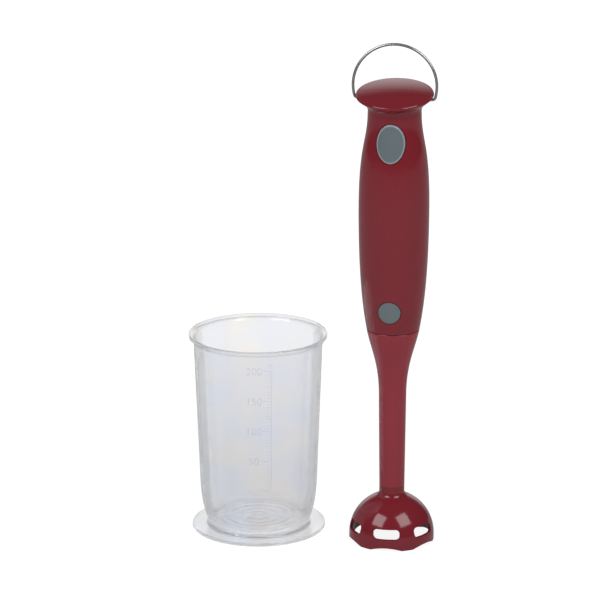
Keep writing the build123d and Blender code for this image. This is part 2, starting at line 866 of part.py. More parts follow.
# Blade guard: a round shell with a neck, six slots and six scallops
guard_inside = guard_radius - guard_wall
plug_radius = tube_low_radius - tube_wall - seat_gap
neck_foot = guard_skirt + sqrt(guard_radius**2 - tube_low_radius**2)
dome_ceiling = guard_skirt + sqrt(guard_inside**2 - bush_radius**2)
plug_top = guard_neck_height + guard_plug_length
slot_planes = [Plane.XZ.rotated((0, 0, i * 360 / slot_count)) for i in range(slot_count)]
outside_sweep = degrees(acos(tube_low_radius / guard_radius))
inside_sweep = degrees(acos(bush_radius / guard_inside))
scallop_radius = (scallop_width / 2) ** 2 / (2 * scallop_depth) + scallop_depth / 2
with BuildPart() as blade_guard:
    with BuildSketch(Plane.XZ) as guard_section:
        with BuildLine():
            outside = CenterArc((0, guard_skirt), guard_radius, 0, outside_sweep)
            inside = CenterArc((0, guard_skirt), guard_inside, 0, inside_sweep)
            Polyline(
                outside @ 1,
                (tube_low_radius, guard_neck_height),
                (plug_radius, guard_neck_height),
                (plug_radius, plug_top),
                (bush_radius, plug_top),
                inside @ 1,
            )
            Polyline(inside @ 0, (guard_inside, 0), (guard_radius, 0), outside @ 0)
        make_face()
        neck_corner = guard_section.vertices().sort_by_distance((tube_low_radius, neck_foot, 0))[0]
        fillet(neck_corner, guard_neck_fillet)
    revolve(axis=Axis.Z)
    with BuildSketch(*slot_planes):
        with Locations((0, slot_centre)):
            RectangleRounded(slot_length, slot_height, slot_corner)
        with Locations((0, scallop_depth - scallop_radius)):
            Circle(scallop_radius)
    extrude(amount=2 * guard_radius, mode=Mode.SUBTRACT)

with BuildPart() as lower_bush:
    flange_level = dome_ceiling - 2 * bush_flange
    with BuildSketch(level(flange_level)):
        Circle(bush_radius)
        Circle(drive_shaft_size / 2 + running_gap, mode=Mode.SUBTRACT)
    extrude(amount=plug_top - flange_level)
    with BuildSketch(level(flange_level)):
        Circle(bush_radius + bush_wall / 2)
        Circle(drive_shaft_size / 2 + running_gap, mode=Mode.SUBTRACT)
    extrude(amount=bush_flange)

# Drive shaft with its blade and the clip that keeps it in the foot
with BuildPart() as drive_shaft:
    with BuildSketch(level(shaft_end)):
        Circle(drive_shaft_size / 2)
    extrude(amount=coupling_level - beside_gap - motor_wall - shaft_end)

with BuildPart() as shaft_clip:
    with BuildSketch(level(plug_top + beside_gap)):
        Circle(bush_radius)
        Circle(drive_shaft_size / 2, mode=Mode.SUBTRACT)
    extrude(amount=bush_flange)

with BuildPart() as blade:
    with BuildSketch(level(shaft_end - motor_wall)):
        Circle(blade_hub_radius)
    extrude(amount=blade_hub_length)
    for side in (-1, 1):
        slope = radians(side * blade_pitch)
        wing_plane = Plane((0, 0, blade_height), x_dir=(side, 0, 0), z_dir=(0, -sin(slope), cos(slope)))
        with BuildSketch(wing_plane):
            with BuildLine():
                tip_x = blade_radius - blade_tip
                back = Line((0, blade_width / 2), (tip_x, blade_tip))
                tip = ThreePointArc(back @ 1, (blade_radius, 0), (tip_x, -blade_tip))
                Polyline(tip @ 1, (0, -blade_width / 2), back @ 0)
            make_face()
        extrude(amount=blade_thick / 2, both=True)
    with BuildSketch(level(shaft_end)):
        Circle(drive_shaft_size / 2)
    extrude(amount=blade_hub_length, mode=Mode.SUBTRACT)

# Beaker: a tapered cup with a flared rim and rings in its floor, on a round base
beaker_spot = Plane((beaker_x, beaker_y, 0), x_dir=(1, 0, 0), z_dir=(0, -1, 0))
beaker_axis = Axis((beaker_x, beaker_y, 0), (0, 0, 1))
cup_low = base_thick + beaker_foot_height
cup_floor = cup_low + beaker_floor
flare_low = beaker_height - beaker_flare
with BuildPart() as beaker_cup:
    low_inside = beaker_low_radius - beaker_wall
    top_inside = beaker_top_radius - beaker_wall
    foot_inside = beaker_foot_radius - beaker_wall
    with BuildSketch(beaker_spot):
        with BuildLine():
            wall_out = Line((beaker_low_radius, beaker_low_height), (beaker_top_radius, flare_low))
            curve_out = TangentArc(wall_out @ 0, (beaker_foot_radius, cup_low), tangent=-(wall_out % 0))
            lip_low = (beaker_rim_radius, beaker_height - beaker_lip)
            lip_out = TangentArc(wall_out @ 1, lip_low, tangent=wall_out % 1)
            wall_in = Line((low_inside, beaker_low_height), (top_inside, flare_low))
            curve_in = TangentArc(wall_in @ 0, (foot_inside, cup_floor), tangent=-(wall_in % 0))
            lip_top = (beaker_rim_radius - beaker_lip / 2, beaker_height)
            lip_in = TangentArc(wall_in @ 1, lip_top, tangent=wall_in % 1)
            Polyline(lip_out @ 1, (beaker_rim_radius, beaker_height), lip_in @ 1)
            Polyline(
                curve_in @ 1,
                (0, cup_floor),
                (0, cup_low),
                (foot_inside, cup_low),
                (foot_inside, base_thick),
                (beaker_foot_radius, base_thick),
                curve_out @ 1,
            )
        make_face()
    revolve(axis=beaker_axis)
    with BuildSketch(level(cup_floor)):
        with Locations((beaker_x, beaker_y)):
            for radius in beaker_rings:
                Circle(radius + ring_width / 2)
                Circle(radius - ring_width / 2, mode=Mode.SUBTRACT)
    extrude(amount=ring_height)

with BuildPart() as beaker_base:
    with BuildSketch(beaker_spot):
        with BuildLine():
            collar_radius = beaker_foot_radius + seat_gap
            edge = ThreePointArc(
                (base_radius - base_thick / 2, base_thick),
                (base_radius, base_thick / 2),
                (base_radius - base_thick / 2, 0),
            )
            Polyline(
                edge @ 0,
                (collar_radius + base_collar, base_thick),
                (collar_radius, base_thick + base_collar),
                (collar_radius, base_thick),
                (0, base_thick),
                (0, 0),
                edge @ 1,
            )
        make_face()
    revolve(axis=beaker_axis)

pieces = {
    "handle_front_shell": handle_front_shell,
    "handle_rear_shell": handle_rear_shell,
    "shell_screws": shell_screws,
    "battery_cover": battery_cover,
    "battery_cover_screw": battery_cover_screw,
    "battery_box": battery_box,
    "battery_cells": battery_cells,
    "series_contact": series_contact,
    "terminal_contacts": terminal_contacts,
    "battery_springs": battery_springs,
    "motor_mount": motor_mount,
    "motor_mount_screws": motor_mount_screws,
    "motor_can": motor_can,
    "motor_end_cap": motor_end_cap,
    "motor_magnets": motor_magnets,
    "motor_armature": motor_armature,
    "drive_coupling_upper": drive_coupling_upper,
    "drive_coupling_lower": drive_coupling_lower,
    "power_button": power_button,
    "switch_plunger": switch_plunger,
    "power_switch": power_switch,
    "power_button_spring": power_button_spring,
    "release_button": release_button,
    "release_button_spring": release_button_spring,
    "latch_spring": latch_spring,
    "hanging_loop": hanging_loop,
    "wire_leads": wire_leads,
    "foot_tube": foot_tube,
    "foot_spigot": foot_spigot,
    "upper_bush": upper_bush,
    "blade_guard": blade_guard,
    "lower_bush": lower_bush,
    "drive_shaft": drive_shaft,
    "shaft_clip": shaft_clip,
    "blade": blade,
    "beaker_cup": beaker_cup,
    "beaker_base": beaker_base,
}
os.makedirs("parts", exist_ok=True)
for name, piece in pieces.items():
    piece.part.label = name
    export_step(piece.part, f"parts/{name}.step")
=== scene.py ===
import math

import bmesh
import bpy
from bpy.props import FloatProperty, FloatVectorProperty, IntProperty, PointerProperty
from bpy.types import Operator, Panel, PropertyGroup
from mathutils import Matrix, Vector


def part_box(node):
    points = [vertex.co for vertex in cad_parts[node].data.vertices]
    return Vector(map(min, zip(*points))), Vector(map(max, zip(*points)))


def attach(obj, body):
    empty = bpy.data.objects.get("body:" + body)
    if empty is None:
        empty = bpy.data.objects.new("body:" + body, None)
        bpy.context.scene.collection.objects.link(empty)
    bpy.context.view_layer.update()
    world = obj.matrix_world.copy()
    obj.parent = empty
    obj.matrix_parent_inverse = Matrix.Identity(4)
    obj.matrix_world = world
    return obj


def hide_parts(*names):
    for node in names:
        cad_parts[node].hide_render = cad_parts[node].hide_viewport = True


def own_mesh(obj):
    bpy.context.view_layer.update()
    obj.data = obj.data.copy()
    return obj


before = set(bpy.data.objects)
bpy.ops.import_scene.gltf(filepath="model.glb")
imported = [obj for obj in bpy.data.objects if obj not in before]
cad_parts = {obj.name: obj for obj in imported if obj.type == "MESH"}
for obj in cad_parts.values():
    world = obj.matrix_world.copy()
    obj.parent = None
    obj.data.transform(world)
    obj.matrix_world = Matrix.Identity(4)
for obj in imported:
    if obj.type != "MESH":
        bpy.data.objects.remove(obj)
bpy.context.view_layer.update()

bl_info = {
    "name": "Toy Stick Mixer",
    "version": (1, 0, 0),
    "blender": (4, 5, 0),
    "location": "View3D > Sidebar > Toy Mixer",
    "description": "Dresses the packed toy stick mixer and its clear beaker, and sets its studio",
    "category": "Object",
}

MM = 0.001
CUP_LOW, CUP_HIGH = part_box("beaker_cup")
BASE_LOW, BASE_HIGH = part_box("beaker_base")
CUP_CENTRE = (CUP_LOW + CUP_HIGH) / 2

# Refractive indices of the opaque plastics
ABS_IOR = 1.53
NYLON_IOR = 1.53
PVC_IOR = 1.52
# The part of a noise's range that a finish spreads over
NOISE_LOW, NOISE_HIGH = 0.3, 0.7
# Edges sharper than these stay sharp, on CAD nodes and on turned pieces
CAD_EDGE = math.radians(28)
TURNED_EDGE = math.radians(40)
# Where the painted highlight on the power button's edge starts and is full, as shares of the oval
EDGE_HIGHLIGHT_START, EDGE_HIGHLIGHT_FULL = 0.89, 0.94

# The rings on the beaker's floor and the division of its scale
FLOOR_RINGS = (6.0 * MM, 11.0 * MM, 16.6 * MM, 21.0 * MM)
RING_STEPS = 8
TICKS_PER_NUMBER = 10
NUMBER_STEP = 50
NUMBERS = 4
LONG_TICK, MIDDLE_TICK = 2.0, 1.4
# The longest face of a stroke, so that it follows the taper of the wall
STROKE_FACE = 4 * MM
# The built-in font's size over the height of its digits
FONT_OVER_DIGIT = 1.35

# The middle of the set and of the lit paper behind it, and how the paper's brightness spreads from them
SET_CENTRE = (-0.04, 0, 0)
LIT_CENTRE = (-0.04, 0.2, 0)
SHADOW_NEAR, SHADOW_FAR = 0.12, 0.4
SHADOW_PAPER, PLAIN_PAPER = 0.9, 1.0
# Clear plastic sees painted shade on the paper close to the set, and a painted pool of light round the lit
# patch.
CLEAR_NEAR, CLEAR_FAR = 0.1, 0.38
CLEAR_DIM, CLEAR_LIT = 0.66, 0.88
PATCH_NEAR, PATCH_FAR = 0.3, 0.6
WHITE = (1, 1, 1, 1)
SHADOW_GREY = (0.16, 0.16, 0.16, 1)
PAPER_GREY = (0.8, 0.8, 0.8, 1)
FLOOR_DROP = 0.2 * MM

# Which CAD nodes share a finish
RED_HANDLE = ("handle_front_shell", "handle_rear_shell", "battery_cover", "blade_guard")
GREY_PIECES = ("release_button", "blade")
BLACK_PIECES = ("battery_box", "motor_mount", "power_switch", "motor_end_cap", "foot_spigot")
NYLON_PIECES = ("drive_coupling_upper", "drive_coupling_lower", "upper_bush", "lower_bush", "switch_plunger")
SCREWS = ("shell_screws", "battery_cover_screw", "motor_mount_screws")
SPRINGS = ("battery_springs", "latch_spring", "shaft_clip")
CONTACTS = ("series_contact", "terminal_contacts")
STEEL_PIECES = ("motor_can", "drive_shaft")
IRON_PIECES = ("motor_magnets", "motor_armature")


def linear(code):
    """An sRGB hex colour as linear red, green, blue and alpha."""
    channels = [int(code[i : i + 2], 16) / 255 for i in (0, 2, 4)]
    return (*[c / 12.92 if c <= 0.04045 else ((c + 0.055) / 1.055) ** 2.4 for c in channels], 1.0)


def colour_property(name, description, code):
    """A colour that a user can change, with its default as sRGB hex."""
    return FloatVectorProperty(
        name=name, description=description, subtype="COLOR", size=4, min=0, max=1, default=linear(code)
    )


def length_property(name, description, default):
    """A length that a user can change, in metres."""
    return FloatProperty(name=name, description=description, default=default, unit="LENGTH", precision=5)


def angle_property(name, description, degrees):
    """An angle that a user can change, with its default in degrees."""
    return FloatProperty(name=name, description=description, default=math.radians(degrees), subtype="ANGLE")


def level_property(name, description, default):
    """A brightness that a user can change, where 1 is white."""
    return FloatProperty(name=name, description=description, default=default, min=0)


class MixerColours(PropertyGroup):
    """Colours of the mixer and its beaker."""

    handle_red: colour_property("Handle red", "Body colour of the handle and the blade guard", "751E28")
    foot_red: colour_property("Foot red", "Body colour of the mixing foot's tube", "882834")
    button_grey: colour_property("Button grey", "Body colour of the buttons and the blade", "636D71")
    # The power button's edge colour is a painted highlight, a pale ring mixed into the body grey.
    button_edge_highlight: colour_property("Button edge", "Painted highlight round the power button's edge", "8E9497")
    wire: colour_property("Wire", "Colour of the drawn steel loop", "BDBDBB")
    beaker: colour_property("Beaker", "Tint of the clear beaker", "E9ECF4")
    beaker_warm: colour_property("Beaker, warm", "Warm side of the beaker's strain colours", "F4F0EA")
    black: colour_property("Black", "Body colour of the hidden mouldings", "1B1B1D")
    nylon: colour_property("Nylon", "Natural colour of the nylon pieces", "E4DFD2")
    zinc: colour_property("Zinc", "Colour of plated screws", "B9BABB")
    steel: colour_property("Steel", "Colour of drawn and spring steel", "A9AAAC")
    iron: colour_property("Iron", "Colour of the magnets and the armature", "3B3A3A")
    sleeve: colour_property("Cell sleeve", "Colour of the cells' plain sleeve", "3A3C42")
    lead: colour_property("Lead", "Colour of the sheathed leads", "8A1F1F")


class ButtonSizes(PropertyGroup):
    """Sizes and travel of the two buttons."""

    power_width: length_property("Power width", "Width of the power button's oval face", 15.2 * MM)
    power_length: length_property("Power length", "Length of the power button's oval face", 20.6 * MM)
    power_travel: length_property("Power travel", "How far the power button presses in", 2.0 * MM)
    release_travel: length_property("Release travel", "How far the release button presses in", 1.2 * MM)


class BeakerSizes(PropertyGroup):
    """Sizes of the clear beaker's finer mesh and of its scale."""

    steps: IntProperty(name="Steps", description="Steps round the beaker", default=144, min=48)
    wall: length_property("Wall", "Thickness of the beaker's wall", 1.6 * MM)
    lip: length_property("Lip", "Height of the rolled lip", 2.2 * MM)
    flare: length_property("Flare", "Height of the flare under the rim", 5.5 * MM)
    top_radius: length_property("Top radius", "Outside radius under the flare", 35.3 * MM)
    low_radius: length_property("Low radius", "Outside radius where the wall starts to turn in", 32.2 * MM)
    low_height: length_property("Low height", "Height where the wall starts to turn in", 25.0 * MM)
    foot_radius: length_property("Foot radius", "Outside radius of the foot ring", 28.1 * MM)
    foot: length_property("Foot", "Height of the foot ring", 1.5 * MM)
    floor: length_property("Floor", "Thickness of the floor", 1.5 * MM)
    ring_width: length_property("Ring width", "Width of a ring on the floor", 2.0 * MM)
    ring_height: length_property("Ring height", "Height of a ring on the floor", 0.5 * MM)
    scale_angle: angle_property("Scale angle", "The scale's upright line, from the front towards +X", 21.8)
    ticks: IntProperty(name="Ticks", description="Spaces between the scale's ticks", default=42, min=1)
    tick: length_property("Tick", "Height from one tick to the next", 1.73 * MM)
    tick_length: length_property("Tick length", "Length of a short tick", 2.2 * MM)
    stroke: length_property("Stroke", "Width of the raised strokes", 0.3 * MM)
    relief: length_property("Relief", "How far the strokes stand out", 0.2 * MM)
    numeral: length_property("Numeral", "Height of the numerals", 4.4 * MM)
    numeral_offset: length_property("Numeral offset", "From the upright line to the numerals", 9.5 * MM)
    first_tick: length_property("First tick", "Height of the lowest tick", 31.0 * MM)


class StageSizes(PropertyGroup):
    """Camera and lamps of the studio."""

    target: FloatVectorProperty(
        name="Target",
        description="Point that the camera looks at",
        default=(-45.66 * MM, -7.35 * MM, 131.7 * MM),
        subtype="XYZ",
        unit="LENGTH",
    )
    distance: length_property("Distance", "From the camera to its target", 1.8)
    lens: FloatProperty(name="Lens", description="Focal length", default=195.25, unit="CAMERA")
    sensor: FloatProperty(name="Sensor", description="Width of the sensor", default=36.0, unit="CAMERA")
    azimuth: angle_property("Azimuth", "Camera, from the front towards +X", 9.15)
    elevation: angle_property("Elevation", "Camera above the table", 16.61)
    lamp_side: angle_property("Lamp side", "Softbox, to either side of the camera", 47)
    lamp_rise: angle_property("Lamp rise", "Softbox above the table", 40)
    lamp_distance: length_property("Lamp distance", "From a softbox to the target", 1.1)
    lamp_size: length_property("Lamp size", "Side of a square softbox", 0.65)
    lamp_power: FloatProperty(name="Lamp power", description="Power of a softbox", default=5.6, unit="POWER")
    room: level_property("Room", "Light of the room on the mixer", 0.35)
    room_in_gloss: level_property("Room in gloss", "How bright gloss shows the room", 0.06)
    paper_in_gloss: level_property("Paper in gloss", "How bright gloss shows the floor", 0.25)
    room_in_clear: level_property("Room in clear", "How bright clear plastic shows the room", 0.42)
    backdrop_edge: angle_property("Backdrop edge", "Half of the white backdrop's width", 40)
    floor_size: length_property("Floor size", "Side of the floor", 6.0)


def add_node(tree, kind, inputs=None, **settings):
    """A new node with its settings, and with each input set to a value or linked to a socket."""
    node = tree.nodes.new(kind)
    for name, value in settings.items():
        setattr(node, name, value)
    for socket, value in (inputs or {}).items():
        if isinstance(value, bpy.types.NodeSocket):
            tree.links.new(value, node.inputs[socket])
        else:
            node.inputs[socket].default_value = value
    return node


def blank_material(name):
    """A material with an empty node tree and its output node."""
    material = bpy.data.materials.new(name)
    material.use_nodes = True
    material.node_tree.nodes.clear()
    return material, material.node_tree, add_node(material.node_tree, "ShaderNodeOutputMaterial")


def shaded(colour, factor):
    """A colour made darker or lighter by a factor."""
    return (*[min(1.0, c * factor) for c in colour[:3]], 1.0)


def moulded_plastic(name, colour, gloss, ior, flow, peel):
    """Injection moulded plastic: even colour with slight flow marks, and a fine orange peel in the gloss.

    flow and peel are the widths of those marks, and gloss holds the lowest and highest roughness.
    """
    material, tree, output = blank_material(name)
    place = add_node(tree, "ShaderNodeTexCoord").outputs["Object"]
    drift = add_node(tree, "ShaderNodeTexNoise", {"Vector": place, "Scale": 1 / flow, "Detail": 0.5})
    tint = add_node(
        tree,
        "ShaderNodeMix",
        {0: drift.outputs["Fac"], 6: shaded(colour, 0.96), 7: shaded(colour, 1.04)},
        data_type="RGBA",
    )
    sheen = add_node(
        tree,
        "ShaderNodeMapRange",
        {
            "Value": drift.outputs["Fac"],
            "From Min": NOISE_LOW,
            "From Max": NOISE_HIGH,
            "To Min": gloss[0],
            "To Max": gloss[1],
        },
    )
    grain = add_node(tree, "ShaderNodeTexNoise", {"Vector": place, "Scale": 1 / peel, "Detail": 2.0})
    skin = add_node(
        tree, "ShaderNodeBump", {"Strength": 0.12, "Distance": 0.02 * MM, "Height": grain.outputs["Fac"]}
    )
    shader = add_node(
        tree,
        "ShaderNodeBsdfPrincipled",
        {
            "Base Color": tint.outputs[2],
            "Roughness": sheen.outputs["Result"],
            "IOR": ior,
            "Normal": skin.outputs["Normal"],
        },
    )
    tree.links.new(shader.outputs["BSDF"], output.inputs["Surface"])
    return material


def paint_edge_highlight(material, size, face, edge):
    """Paints a highlight on a button: a pale ring of colour round the oval face in the middle of its box.

    size is the box of the node, and face holds the width and the length of the oval.
    """
    tree = material.node_tree
    shader = tree.nodes["Principled BSDF"]
    body = shader.inputs["Base Color"].links[0].from_socket
    place = add_node(tree, "ShaderNodeTexCoord").outputs["Generated"]
    middle = add_node(tree, "ShaderNodeVectorMath", {0: place, 1: (0.5, 0.5, 0.5)}, operation="SUBTRACT")
    stretch = (2 * size.x / face[0], 0, 2 * size.z / face[1])
    share = add_node(tree, "ShaderNodeVectorMath", {0: middle.outputs[0], 1: stretch}, operation="MULTIPLY")
    reach = add_node(tree, "ShaderNodeVectorMath", {0: share.outputs[0]}, operation="LENGTH")
    rim = add_node(
        tree,
        "ShaderNodeMapRange",
        {"Value": reach.outputs["Value"], "From Min": EDGE_HIGHLIGHT_START, "From Max": EDGE_HIGHLIGHT_FULL},
    )
    # The pale ring is a painted highlight, mixed into the base colour.
    tint = add_node(tree, "ShaderNodeMix", {0: rim.outputs["Result"], 6: body, 7: edge}, data_type="RGBA")
    tree.links.new(tint.outputs[2], shader.inputs["Base Color"])


def drawn_metal(name, colour, gloss, streak):
    """Drawn or plated metal: a bright surface whose gloss varies in marks as wide as streak.

    Real drawing and plating marks are finer than the render can show, so they are drawn coarser.
    """
    material, tree, output = blank_material(name)
    place = add_node(tree, "ShaderNodeTexCoord").outputs["Object"]
    marks = add_node(tree, "ShaderNodeTexNoise", {"Vector": place, "Scale": 1 / streak, "Detail": 1.0})
    tint = add_node(
        tree,
        "ShaderNodeMix",
        {0: marks.outputs["Fac"], 6: shaded(colour, 0.93), 7: shaded(colour, 1.07)},
        data_type="RGBA",
    )
    sheen = add_node(
        tree,
        "ShaderNodeMapRange",
        {
            "Value": marks.outputs["Fac"],
            "From Min": NOISE_LOW,
            "From Max": NOISE_HIGH,
            "To Min": gloss[0],
            "To Max": gloss[1],
        },
    )
    shader = add_node(
        tree,
        "ShaderNodeBsdfPrincipled",
        {"Base Color": tint.outputs[2], "Roughness": sheen.outputs["Result"], "Metallic": 1.0},
    )
    tree.links.new(shader.outputs["BSDF"], output.inputs["Surface"])
    return material


def clear_styrene(name, cool, warm):
    """Clear polystyrene, injection moulded: thin bright walls, grey edges and faint strain colours.

    Polystyrene's index is about 1.59. A lower one, with part of the light passing straight, gives the soft
    grey rim of the real beaker, and a coat keeps the reflections of the plain surface.
    """
    material, tree, output = blank_material(name)
    place = add_node(tree, "ShaderNodeTexCoord").outputs["Object"]
    strain_width = 26 * MM
    strain = add_node(tree, "ShaderNodeTexNoise", {"Vector": place, "Scale": 1 / strain_width, "Detail": 1.0})
    bands = add_node(
        tree, "ShaderNodeMapRange", {"Value": strain.outputs["Fac"], "From Min": 0.45, "From Max": 0.75}
    )
    tint = add_node(tree, "ShaderNodeMix", {0: bands.outputs["Result"], 6: cool, 7: warm}, data_type="RGBA")
    shader = add_node(
        tree,
        "ShaderNodeBsdfPrincipled",
        {
            "Base Color": tint.outputs[2],
            "Roughness": 0.02,
            "IOR": 1.16,
            "Transmission Weight": 1.0,
            "Alpha": 0.65,
            "Coat Weight": 0.8,
            "Coat Roughness": 0.02,
        },
    )
    tree.links.new(shader.outputs["BSDF"], output.inputs["Surface"])
    return material


def finish_surface(piece, material):
    """Gives a piece a material and smooth shading that stops at its sharp edges."""
    piece.data.materials.clear()
    piece.data.materials.append(material)
    piece.data.shade_smooth()
    weld = piece.modifiers.new("weld_seams", "WELD")
    weld.merge_threshold = 0.001 * MM
    split = piece.modifiers.new("keep_edges", "EDGE_SPLIT")
    split.split_angle = CAD_EDGE


def dress(nodes, material):
    """Gives CAD nodes a material and smooth shading."""
    for name in nodes:
        finish_surface(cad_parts[name], material)


def squeeze_spring(name, material):
    """A copy of a button's spring, carried by the handle in place of the CAD node."""
    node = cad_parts[name]
    spring = bpy.data.objects.new(name + "_wire", node.data.copy())
    spring.matrix_world = node.matrix_world.copy()
    bpy.context.scene.collection.objects.link(spring)
    finish_surface(spring, material)
    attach(spring, "handle")
    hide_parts(name)
    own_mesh(spring)


def bend(start, corner, end, steps=8):
    """Points of a smooth curve from start to end that turns at corner."""
    points = []
    for i in range(steps + 1):
        t = i / steps
        points.append(
            tuple((1 - t) ** 2 * a + 2 * t * (1 - t) * b + t * t * c for a, b, c in zip(start, corner, end))
        )
    return points


def spun(name, profile, centre, steps):
    """An object made by turning a closed profile of radius and height about an upright axis."""
    mesh = bpy.data.meshes.new(name)
    shell = bmesh.new()
    corners = [shell.verts.new((r, 0, z)) for r, z in profile]
    edges = [shell.edges.new((a, b)) for a, b in zip(corners, corners[1:])]
    bmesh.ops.spin(
        shell,
        geom=corners + edges,
        cent=(0, 0, 0),
        axis=(0, 0, 1),
        angle=2 * math.pi,
        steps=steps,
        use_merge=True,
    )
    bmesh.ops.remove_doubles(shell, verts=shell.verts, dist=0.0005 * MM)
    bmesh.ops.recalc_face_normals(shell, faces=shell.faces)
    shell.to_mesh(mesh)
    shell.free()
    mesh.shade_smooth()
    mesh.set_sharp_from_angle(angle=TURNED_EDGE)
    made = bpy.data.objects.new(name, mesh)
    made.location = (centre.x, centre.y, 0)
    bpy.context.scene.collection.objects.link(made)
    return made


class MIXER_OT_handle(Operator):
    """Dress the moulded handle and the blade guard"""

    bl_idname = "mixer.handle"
    bl_label = "Handle"

    def execute(self, context):
        colours = context.scene.mixer_colours
        # Polished ABS gives a deep colour with soft, slightly wavy reflections.
        red = moulded_plastic("abs_red_polished", colours.handle_red, (0.1, 0.14), ABS_IOR, 40 * MM, 1.2 * MM)
        dress(RED_HANDLE, red)
        return {"FINISHED"}


class MIXER_OT_buttons(Operator):
    """Dress the two buttons and the blade"""

    bl_idname = "mixer.buttons"
    bl_label = "Buttons"

    def execute(self, context):
        colours = context.scene.mixer_colours
        sizes = context.scene.mixer_buttons
        # Smooth ABS gives a cool grey with small, clear reflections.
        grey = moulded_plastic(
            "abs_grey_smooth", colours.button_grey, (0.1, 0.14), ABS_IOR, 15 * MM, 0.8 * MM
        )
        dress(GREY_PIECES, grey)
        # The same ABS, a little glossier, with a highlight painted as a pale ring of colour round the oval.
        polished = moulded_plastic(
            "abs_grey_painted_edge_highlight", colours.button_grey, (0.08, 0.1), ABS_IOR, 15 * MM, 0.8 * MM
        )
        low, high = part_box("power_button")
        paint_edge_highlight(polished, high - low, (sizes.power_width, sizes.power_length), colours.button_edge_highlight)
        dress(("power_button",), polished)
        return {"FINISHED"}


class MIXER_OT_loop(Operator):
    """Dress the hanging loop"""

    bl_idname = "mixer.loop"
    bl_label = "Hanging loop"

    def execute(self, context):
        colours = context.scene.mixer_colours
        # Drawn stainless wire gives dark and bright lines along its round.
        wire = drawn_metal("stainless_wire_drawn", colours.wire, (0.28, 0.34), 3 * MM)
        dress(("hanging_loop",), wire)
        return {"FINISHED"}


class MIXER_OT_foot(Operator):
    """Dress the mixing foot's tube"""

    bl_idname = "mixer.foot"
    bl_label = "Mixing foot"

    def execute(self, context):
        colours = context.scene.mixer_colours
        # The foot is the same polished ABS from another shot, a little lighter.
        red = moulded_plastic(
            "abs_red_polished_foot", colours.foot_red, (0.12, 0.16), ABS_IOR, 30 * MM, 1.2 * MM
        )
        dress(("foot_tube",), red)
        return {"FINISHED"}


class MIXER_OT_works(Operator):
    """Dress the motor, the cells and the other pieces inside"""

    bl_idname = "mixer.works"
    bl_label = "Works"

    def execute(self, context):
        colours = context.scene.mixer_colours
        # Black ABS as moulded gives a dull, even black.
        black = moulded_plastic("abs_black_matt", colours.black, (0.45, 0.6), ABS_IOR, 20 * MM, 0.6 * MM)
        dress(BLACK_PIECES, black)
        # Natural nylon gives a warm white with a waxy sheen.
        nylon = moulded_plastic("nylon_natural", colours.nylon, (0.35, 0.45), NYLON_IOR, 6 * MM, 0.5 * MM)
        dress(NYLON_PIECES, nylon)
        # PVC sheath gives a soft red with a dull sheen.
        sheath = moulded_plastic("pvc_sheath", colours.lead, (0.4, 0.5), PVC_IOR, 4 * MM, 0.4 * MM)
        dress(("wire_leads",), sheath)
        # A shrunk PVC sleeve gives the cells a plain dark gloss.
        sleeve = moulded_plastic("pvc_sleeve", colours.sleeve, (0.2, 0.3), PVC_IOR, 10 * MM, 1 * MM)
        dress(("battery_cells",), sleeve)
        # Zinc plating gives a pale, slightly cloudy metal.
        dress(SCREWS, drawn_metal("steel_zinc_plated", colours.zinc, (0.25, 0.4), 0.8 * MM))
        # Spring wire and nickel strip give a plain bright metal.
        wire = drawn_metal("steel_spring_drawn", colours.steel, (0.2, 0.3), 0.5 * MM)
        dress(SPRINGS + CONTACTS, wire)
        squeeze_spring("power_button_spring", wire)
        squeeze_spring("release_button_spring", wire)
        # Deep drawn steel gives a greyer, duller metal.
        dress(STEEL_PIECES, drawn_metal("steel_deep_drawn", colours.steel, (0.3, 0.45), 1.5 * MM))
        # Sintered ferrite and stacked iron give a dark grey without gloss.
        dress(IRON_PIECES, drawn_metal("ferrite_sintered", colours.iron, (0.55, 0.7), 0.4 * MM))
        return {"FINISHED"}


class MIXER_OT_beaker(Operator):
    """Make the clear beaker and its base disc"""

    bl_idname = "mixer.beaker"
    bl_label = "Beaker"

    def execute(self, context):
        sizes = context.scene.mixer_beaker
        colours = context.scene.mixer_colours
        # Clear polystyrene as moulded gives bright walls with a faint lilac and yellow strain.
        clear = clear_styrene("polystyrene_clear_moulded", colours.beaker, colours.beaker_warm)
        cup = spun("beaker_cup_clear", cup_profile(sizes), CUP_CENTRE, sizes.steps)
        base = spun("beaker_base_clear", base_profile(sizes), CUP_CENTRE, sizes.steps)
        for made, node in ((cup, "beaker_cup"), (base, "beaker_base")):
            made.data.materials.append(clear)
            made.visible_shadow = False
            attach(made, "beaker")
            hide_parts(node)
        return {"FINISHED"}


